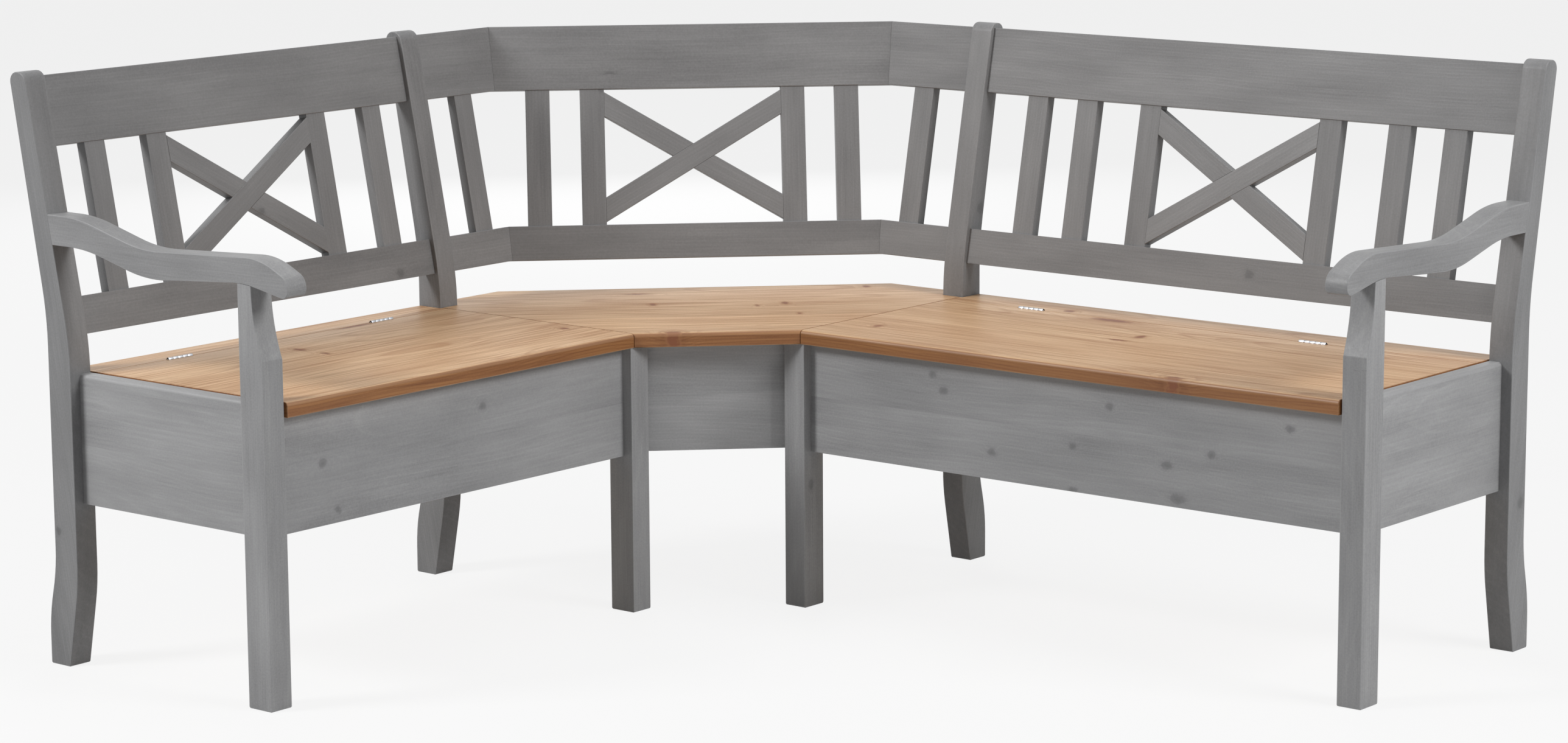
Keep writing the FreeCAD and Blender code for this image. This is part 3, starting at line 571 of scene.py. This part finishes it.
# %% [markdown]
# ## Knots that are where the eye expects them
# Each list holds knots as they lie on one board: across the board, along it, half their width and half their
# length, in millimetres from the board's lowest corner. Panels are glued from staves of 92 mm and seats from
# staves of 104 mm. A sheet of plywood has veneers three times as wide.

# %% Make the finishes
long_front_knots = [
    (155, 247, 4, 5), (131, 268, 5, 6), (141, 587, 4, 5), (72, 519, 4, 5), (43, 363, 4, 6), (89, 773, 5, 6),
    (63, 693, 5, 7), (145, 912, 4, 6), (13, 713, 6, 11), (3, 519, 4, 6),
]
short_front_knots = [(48, 438, 5, 6), (84, 93, 5, 6), (160, 123, 4, 5)]
long_lid_knots = [(288, 74, 8, 5), (117, 471, 10, 6), (163, 459, 4, 14), (13, 343, 9, 32), (390, 720, 7, 13)]
short_lid_knots = [(97, 330, 11, 5), (153, 331, 8, 4), (290, 734, 7, 5), (4, 540, 5, 30)]
corner_seat_knots = [
    (177, 356, 8, 4), (188, 579, 10, 5), (29, 734, 8, 5), (63, 336, 4, 18), (207, 530, 6, 3),
    (298, 592, 6, 3), (461, 371, 6, 11),
]
panel_stave = 92 * MM
seat_stave = 104 * MM
sheet_stave = 320 * MM
finishes = {
    "grey_stained_pine": pine("grey_stained_pine", grey_stain),
    "grey_stained_panel": pine("grey_stained_panel", grey_stain, panel_stave),
    "long_front_panel": pine("grey_stained_long_front", grey_stain, panel_stave, long_front_knots),
    "short_front_panel": pine("grey_stained_short_front", grey_stain, panel_stave, short_front_knots),
    "oiled_pine": pine("oiled_pine", oiled, seat_stave),
    "long_lid": pine("oiled_long_lid", oiled, seat_stave, long_lid_knots),
    "short_lid": pine("oiled_short_lid", oiled, seat_stave, short_lid_knots),
    "corner_seat": pine("oiled_corner_seat", oiled, seat_stave, corner_seat_knots),
    "raw_pine": pine("raw_pine", raw),
    "pine_plywood": pine("pine_plywood", raw, sheet_stave),
}
print("pine finishes:", ", ".join(finishes))

# %% [markdown]
# ## Whole faces and separate solids
# A node arrives as triangles, and may hold several equal pieces. Merging triangles that lie in one plane
# gives back the flat faces that a joiner would see, and walking from vertex to vertex along the edges tells
# one piece from the next.

# %% Take a node apart
same_point = 0.02 * MM
flat_angle = math.radians(0.4)


def whole_faces(name):
    """A copy of a node's mesh, with its triangles merged back into flat faces."""
    mesh = bmesh.new()
    mesh.from_mesh(frame["nodes"][name].data)
    bmesh.ops.remove_doubles(mesh, verts=mesh.verts, dist=same_point)
    bmesh.ops.dissolve_limit(mesh, angle_limit=flat_angle, verts=mesh.verts, edges=mesh.edges)
    for sequence in (mesh.verts, mesh.edges, mesh.faces):
        sequence.index_update()
    mesh.normal_update()
    return mesh


def solids_of(mesh):
    """The separate solids of a mesh, each as a list of its vertices."""
    left = set(mesh.verts)
    found = []
    for start in mesh.verts:
        if start not in left:
            continue
        left.remove(start)
        solid = [start]
        for vertex in solid:
            for edge in vertex.link_edges:
                other = edge.other_vert(vertex)
                if other in left:
                    left.remove(other)
                    solid.append(other)
        found.append(solid)
    return found


# %% [markdown]
# ## Which way the grain runs
# Grain runs along a board, so its longest straight edge shows the way, and its widest side is the face that
# was sawn. Those two directions and the one across them are the board's own axes. The signs are fixed, so
# that the same board always gets the same pattern.

# %% Read a board's own directions
mostly_sideways = 0.2


def board_axes(solid, grain):
    """Directions across, through and along a board; grain is given only where the longest edge misleads."""
    edges = {edge for vertex in solid for edge in vertex.link_edges}
    faces = {face for vertex in solid for face in vertex.link_faces}
    if grain is None:
        longest = max(edges, key=lambda edge: (round(edge.calc_length(), 6), -edge.index))
        grain = (longest.verts[0].co - longest.verts[1].co).normalized()
    if sum(grain) < 0:
        grain = -grain
    sides = [face for face in faces if abs(face.normal.dot(grain)) < mostly_sideways]
    widest = max(sides, key=lambda face: (round(face.calc_area(), 7), -face.index))
    through = (widest.normal - grain * widest.normal.dot(grain)).normalized()
    if sum(through) < 0:
        through = -through
    return grain.cross(through), through, grain


# %% [markdown]
# ## Eased edges
# Sandpaper takes the sharpness off every edge that a hand can reach, about a millimetre of it. A bevel does
# that in real geometry, so the edge catches light from any side. Where a board ends against another one,
# its end stays sharp and the joint stays tight, so only edges along the grain are eased there.

# %% Ease the square edges
easing = 1.1 * MM
along_grain = 0.9
square_angle = math.radians(40)
wide_face = 90 * MM * MM
narrow_band = 1.3 * MM


def ease_edges(mesh, axes, number_layer, ends_too):
    """Rounds square outer edges, along the grain or at the ends too, and marks the narrow bands."""
    edges = []
    for edge in mesh.edges:
        if len(edge.link_faces) != 2 or not edge.is_convex or edge.calc_face_angle() < square_angle:
            continue
        if any(face.calc_area() < wide_face for face in edge.link_faces):
            continue
        run = (edge.verts[0].co - edge.verts[1].co).normalized()
        grain = axes[edge.verts[0][number_layer]][2]
        if ends_too or abs(run.dot(grain)) > along_grain:
            edges.append(edge)
    bmesh.ops.bevel(
        mesh, geom=edges, offset=easing, offset_type="OFFSET", segments=3, profile=0.5,
        affect="EDGES", clamp_overlap=True,
    )
    mark = mesh.faces.layers.float.new("eased")
    for face in mesh.faces:
        longest = max(edge.calc_length() for edge in face.edges)
        face[mark] = 1.0 if face.calc_area() / longest < narrow_band else 0.0


# %% [markdown]
# ## A piece that stands in for a node
# The dressed piece takes the place of its solid: it rides on the same body, hides the plain node, and wears
# the finish that it is given. Boards and hinge leaves both end this way.

# %% Stand in for a node


def stand_in(name, prefix, mesh, material):
    """Turns a mesh into an object that takes the place of a node."""
    data = bpy.data.meshes.new(prefix + name)
    mesh.to_mesh(data)
    mesh.free()
    data.materials.append(material)
    piece = bpy.data.objects.new(prefix + name, data)
    bpy.context.scene.collection.objects.link(piece)
    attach(piece, frame["nodes"][name]["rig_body"])
    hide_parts(name)
    return piece


# %% [markdown]
# ## From solid to board
# Every vertex of a board is told its place in the board's own coordinates, from the board's lowest corner,
# and a seed and a tone that the whole board shares, so that no two boards have the same pattern; the tone
# also carries painted light and shade for the kind of piece. Faces are told whether they are a side, and the
# oiled finish darkens the sides, partly as painted shade. The finishes read all of these as attributes.
# Weighted normals then keep the wide faces flat right up to their rounded edges.

# %% Make a board from a node
seed_range = 100
least_tone = 0.97
most_tone = 1.03
side_limit = 0.8
smooth_angle = math.radians(42)


def mark_board(mesh, name, axes, number_layer, tone):
    """Writes each board's coordinates, seed, tone with painted light and shade, and sides into its mesh."""
    place_layer = mesh.verts.layers.float_vector.new("board")
    seed_layer = mesh.verts.layers.float.new("seed")
    tone_layer = mesh.verts.layers.float.new("tone")
    side_layer = mesh.faces.layers.float.new("side")
    for solid in solids_of(mesh):
        number = solid[0][number_layer]
        across, through, along = axes[number]
        draw = random.Random(name + str(number))
        seed = draw.uniform(0, seed_range)
        # painted light and shade: the board's chance tone times the painted tone of its kind
        own_tone_and_painted_light = tone * draw.uniform(least_tone, most_tone)
        turned = Matrix((across, through, along))
        lowest = Vector([min((turned @ vertex.co)[axis] for vertex in solid) for axis in range(3)])
        for vertex in solid:
            vertex[place_layer] = turned @ vertex.co - lowest
            vertex[seed_layer] = seed
            vertex[tone_layer] = own_tone_and_painted_light
        for face in {face for vertex in solid for face in vertex.link_faces}:
            face[side_layer] = 1.0 if abs(face.normal.dot(through)) < side_limit else 0.0


def make_board(name, finish, grain=None, tone=1.0, ends_too=False):
    """A copy of a node with whole faces, eased edges and its own wood coordinates."""
    mesh = whole_faces(name)
    number_layer = mesh.verts.layers.int.new("solid")
    solids = solids_of(mesh)
    axes = [board_axes(solid, grain) for solid in solids]
    for number, solid in enumerate(solids):
        for vertex in solid:
            vertex[number_layer] = number
    ease_edges(mesh, axes, number_layer, ends_too)
    mark_board(mesh, name, axes, number_layer, tone)
    piece = stand_in(name, "wood_", mesh, finishes[finish])
    piece.data.polygons.foreach_set("use_smooth", [True] * len(piece.data.polygons))
    piece.data.set_sharp_from_angle(angle=smooth_angle)
    weighted = piece.modifiers.new("weighted normals", "WEIGHTED_NORMAL")
    weighted.keep_sharp = True
    return piece


# %% [markdown]
# ## Which finish goes where
# The record already says what each piece is made of. Arms are the one case where the longest straight edge
# isn't the grain, which runs from the post to the nose. Each kind of grey stained piece gets a tone that
# paints
# light and shade into the stain: panels, legs and the apron are lighter, where more light falls on them, and
# arms (a little), posts and backs are darker, where less does. The stain itself is the same on every piece.

# %% Make all the boards
forward = {"short": Vector((1, 0, 0)), "long": Vector((0, -1, 0))}
wooden = ("grey_stained_pine", "oiled_pine", "raw_pine", "pine_plywood")
loose_ends = ("_armrest", "_lid", "_seat", "_hinge_strip", "_post")
# painted light and shade: a tone per kind of piece, lighter or darker for how much light falls on it
painted_light_tones = {"_leg": 1.1, "_panel": 1.2, "_apron": 1.4, "_armrest": 0.97, "_post": 0.77}
painted_back_shade = 0.72
wood_pieces = []
for name in sorted(frame["nodes"]):
    slot = frame_slots[name]
    if slot not in wooden:
        continue
    finish = name if name in finishes else slot
    tone = 1.0
    if slot == "grey_stained_pine":
        tone = next((tone for ending, tone in painted_light_tones.items() if name.endswith(ending)), painted_back_shade)
        if name not in finishes and name.endswith(("_panel", "_apron")):
            finish = "grey_stained_panel"
    grain = forward[name.split("_")[0]] if name.endswith("_armrest") else None
    wood_pieces.append(make_board(name, finish, grain, tone, name.endswith(loose_ends)))
print("nodes dressed as boards:", len(wood_pieces))

# %% [markdown]
# ## Hinges, screws and dowels
# Butt hinges and screws are mild steel with bright zinc plating: a bluish white metal with a fine grain from
# the plating bath. A hinge shows as five knuckles, and what tells them apart is the turned rim of each one,
# where the gaps lie in shade and a little dust gathers, so the rims get a darker, duller colour: painted
# shade with a little dust. Dowels are turned beech, a pale pinkish wood with short dark flecks, and sit out
# of sight in their holes.

# %% Plated steel and beech
plating_grain = 1.5 * MM
plating_relief = 0.05 * MM
beech_fleck = 2 * MM


def new_tree(name):
    """A new material, and its empty node tree."""
    material = bpy.data.materials.new(name)
    material.use_nodes = True
    material.node_tree.nodes.clear()
    return material, material.node_tree


def plated_steel():
    """Bright zinc on mild steel, dark and dull on the rims of the knuckles with painted shade and a little
    dust.
    """
    material, tree = new_tree("zinc_plated_steel")
    place = add(tree, "ShaderNodeTexCoord").outputs["Object"]
    rim = add(tree, "ShaderNodeAttribute", attribute_name="rim").outputs["Fac"]
    grain = add(tree, "ShaderNodeTexNoise", {"Vector": place, "Scale": 1 / plating_grain, "Detail": 3.0})
    grain = grain.outputs["Fac"]
    colour = blend(tree, grain, "#dfe2e6", "#c6cad0")
    # painted shade: the knuckle rims are painted near black for the shade in the gaps, with a little dust
    colour = blend(tree, rim, colour, "#2c2d2f")
    roughness = add(tree, "ShaderNodeMapRange", {"Value": grain, "To Min": 0.22, "To Max": 0.4}).outputs[0]
    roughness = add(tree, "ShaderNodeMath", {0: roughness, 1: rim}, operation="MAXIMUM").outputs[0]
    bump = add(tree, "ShaderNodeBump", {"Height": grain, "Strength": 0.2, "Distance": plating_relief})
    shader = add(
        tree, "ShaderNodeBsdfPrincipled",
        {"Base Color": colour, "Metallic": 1.0, "Roughness": roughness, "Normal": bump.outputs[0]},
    )
    add(tree, "ShaderNodeOutputMaterial", {"Surface": shader.outputs[0]})
    return material


def turned_beech():
    """Pale pinkish wood with short dark flecks."""
    material, tree = new_tree("turned_beech")
    place = add(tree, "ShaderNodeTexCoord").outputs["Object"]
    fleck = add(tree, "ShaderNodeTexNoise", {"Vector": place, "Scale": 1 / beech_fleck, "Detail": 4.0})
    colour = blend(tree, fleck.outputs["Fac"], "#d9b48c", "#b98a60")
    shader = add(tree, "ShaderNodeBsdfPrincipled", {"Base Color": colour, "Roughness": 0.55, "IOR": wood_ior})
    add(tree, "ShaderNodeOutputMaterial", {"Surface": shader.outputs[0]})
    return material


hardware = {"zinc_plated_steel": plated_steel(), "beech_dowel": turned_beech()}
for name, node in frame["nodes"].items():
    if frame_slots[name] in hardware:
        node.data.materials.clear()
        node.data.materials.append(hardware[frame_slots[name]])
print("hardware finishes:", ", ".join(hardware))

# %% [markdown]
# ## Rims on the knuckles
# Seen from across a room, a hinge without gaps between its knuckles is a white bar. A small bevel on every
# sharp edge of the leaves makes those gaps, and the faces that turn away from the barrel are marked for the
# darker colour, which paints the shade in the gaps.

# %% Turn the rims of the knuckles
rim_width = 0.7 * MM
rim_angle = math.radians(60)
turned_from_barrel = 0.2


def make_hinge_half(name):
    """A copy of hinge leaves with bevelled rims."""
    mesh = whole_faces(name)
    edges = [
        edge for edge in mesh.edges
        if len(edge.link_faces) == 2 and edge.is_convex and edge.calc_face_angle() > rim_angle
    ]
    bmesh.ops.bevel(
        mesh, geom=edges, offset=rim_width, offset_type="OFFSET", segments=2, profile=0.5,
        affect="EDGES", clamp_overlap=True,
    )
    mark = mesh.faces.layers.float.new("rim")
    for solid in solids_of(mesh):
        pin_way = board_axes(solid, None)[2]
        for face in {face for vertex in solid for face in vertex.link_faces}:
            face[mark] = 1.0 if abs(face.normal.dot(pin_way)) > turned_from_barrel else 0.0
    return stand_in(name, "turned_", mesh, hardware["zinc_plated_steel"])


leaves = [name for name in sorted(frame["nodes"]) if name.endswith(("hinge_leaves", "fixed_leaves"))]
hinge_pieces = [make_hinge_half(name) for name in leaves]
print("hinge leaves:", ", ".join(piece.name for piece in hinge_pieces))

# %% [markdown]
# ## A pale floor
# The bench stands on a plain pale floor. Most of what the camera sees of it is an even white, mixed in only
# for rays that come from the camera or from a gloss, so the floor looks bright without throwing more light
# on the bench. The rest is ordinary matt paint, which keeps a soft shadow under the legs.

# %% Make the floor
floor_size = 60.0
white_share = 0.86


def floor_finish():
    """Pale floor that keeps the shadow but looks almost white to the camera and in reflections."""
    material, tree = new_tree("pale_floor")
    path = add(tree, "ShaderNodeLightPath").outputs
    seen = add(
        tree, "ShaderNodeMath", {0: path["Is Camera Ray"], 1: path["Is Glossy Ray"]}, operation="MAXIMUM"
    )
    share = add(tree, "ShaderNodeMath", {0: seen.outputs[0], 1: white_share}, operation="MULTIPLY").outputs[0]
    paint = add(tree, "ShaderNodeBsdfDiffuse", {"Color": linear("#d2d2d2")}).outputs[0]
    white = add(tree, "ShaderNodeEmission", {"Color": linear("#ffffff"), "Strength": 1.0}).outputs[0]
    mixed = add(tree, "ShaderNodeMixShader", {0: share, 1: paint, 2: white}).outputs[0]
    add(tree, "ShaderNodeOutputMaterial", {"Surface": mixed})
    return material


floor_mesh = bmesh.new()
bmesh.ops.create_grid(floor_mesh, x_segments=2, y_segments=2, size=floor_size / 2)
floor_data = bpy.data.meshes.new("floor")
floor_mesh.to_mesh(floor_data)
floor_mesh.free()
floor_data.materials.append(floor_finish())
floor = bpy.data.objects.new("floor", floor_data)
floor.location.z = cad_box[0].z
bpy.context.scene.collection.objects.link(floor)
print("floor:", floor_size, "m square")

# %% [markdown]
# ## Light
# Two soft lamps stand high and far out to the left and right of the camera, so each bench is lit along its
# front and the recesses beside the inner legs stay dark. A weak one above opens up the seats and arms. One
# behind the corner lights the backs from the rear, and is kept out of reflections, because its glare would
# bleach the seats. The world adds a little light from everywhere, and looks white to the camera.

# %% Set the lights
lamp_aim = (0.0, 0.0, 0.45)


def add_lamp(name, place, size, power, mirrored=True):
    """A square soft lamp that faces the bench; where it isn't mirrored, gloss doesn't show it."""
    lamp = bpy.data.lights.new(name, "AREA")
    lamp.size = size
    lamp.energy = power
    thing = bpy.data.objects.new(name, lamp)
    thing.location = place
    thing.rotation_mode = "QUATERNION"
    thing.rotation_quaternion = (Vector(lamp_aim) - Vector(place)).to_track_quat("-Z", "Y")
    thing.visible_glossy = mirrored
    bpy.context.scene.collection.objects.link(thing)


add_lamp("left_softbox", (-2.3, -3.7, 3.3), 1.3, 160.0)
add_lamp("right_softbox", (4.4, 0.7, 3.3), 2.0, 165.0)
add_lamp("top_softbox", (-0.25, 0.25, 3.4), 2.4, 24.0)
add_lamp("back_softbox", (-3.9, 3.9, 1.7), 2.4, 80.0, mirrored=False)
print("lamps:", len(bpy.data.lights))

# %% Set the world
light_from_everywhere = 0.06
world = bpy.data.worlds.new("studio")
world.use_nodes = True
bpy.context.scene.world = world
sky = world.node_tree
sky.nodes.clear()
ray = add(sky, "ShaderNodeLightPath").outputs
shown = add(sky, "ShaderNodeMath", {0: ray["Is Camera Ray"], 1: ray["Is Glossy Ray"]}, operation="MAXIMUM")
brightness = add(
    sky, "ShaderNodeMapRange", {"Value": shown.outputs[0], "To Min": light_from_everywhere, "To Max": 1.0}
).outputs[0]
backdrop = add(sky, "ShaderNodeBackground", {"Color": linear("#ffffff"), "Strength": brightness})
add(sky, "ShaderNodeOutputWorld", {"Surface": backdrop.outputs[0]})
bpy.context.scene.view_settings.view_transform = "Standard"
print("view transform:", bpy.context.scene.view_settings.view_transform)
